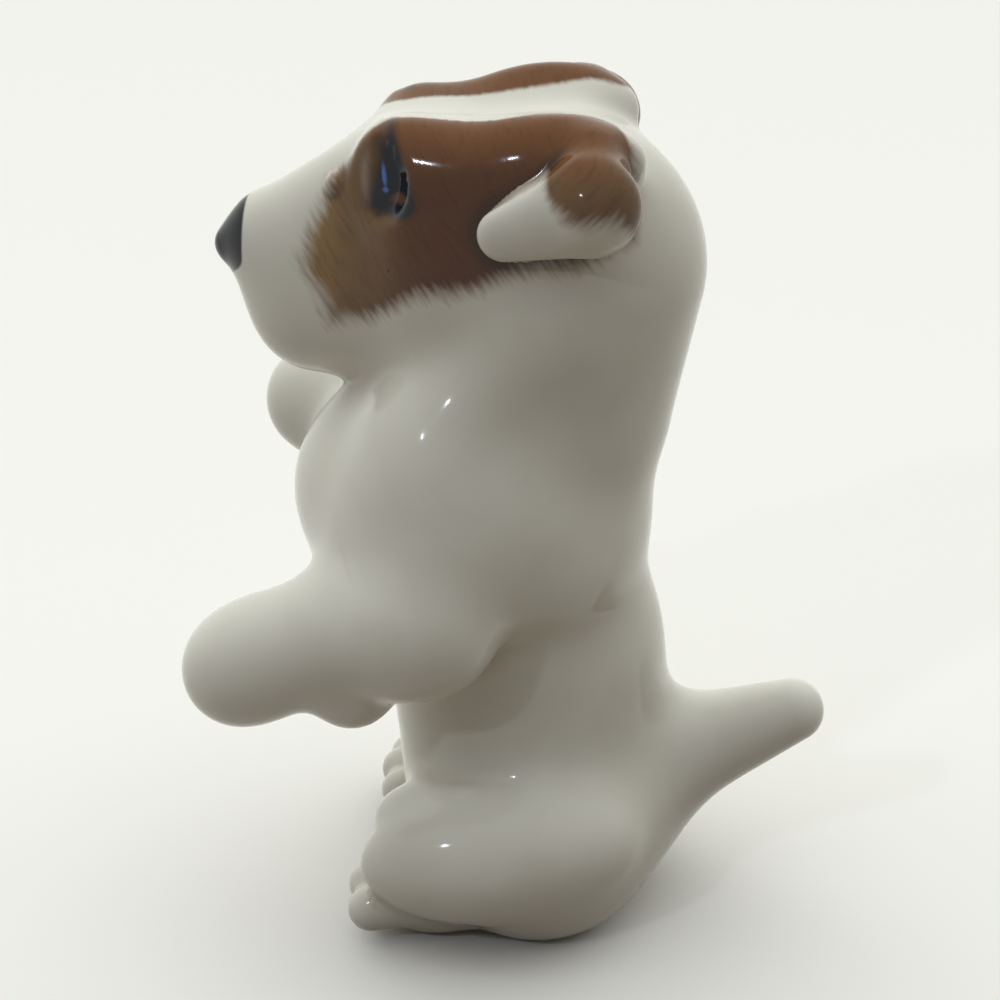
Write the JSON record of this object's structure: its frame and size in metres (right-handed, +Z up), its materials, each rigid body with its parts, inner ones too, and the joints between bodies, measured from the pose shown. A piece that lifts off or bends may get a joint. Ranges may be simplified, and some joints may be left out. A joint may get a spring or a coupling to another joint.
{
  "type": "porcelain dog figurine",
  "caption": "Glazed porcelain terrier sitting up to beg on a flat base, with cast head, ears, legs and docked tail luted to a hollow torso.",
  "frame": {"origin": "on the flat base, under the front edge of the neck", "axes": "+Z up, the dog faces -Y, its left side is towards +X"},
  "size_m": [0.0378, 0.0509, 0.0691],
  "materials": {
    "white_glaze": "clear gloss glaze over white porcelain",
    "painted_head": "brown underglaze patches on white porcelain, clear gloss glaze",
    "painted_ear": "brown underglaze over a white flap, clear gloss glaze"
  },
  "bodies": {
    "root": {"torso": "white_glaze", "head": "painted_head", "left_ear": "painted_ear", "right_ear": "painted_ear", "left_foreleg": "white_glaze", "right_foreleg": "white_glaze", "left_hind_leg": "white_glaze", "right_hind_leg": "white_glaze", "tail": "white_glaze"}
  },
  "joints": []
}
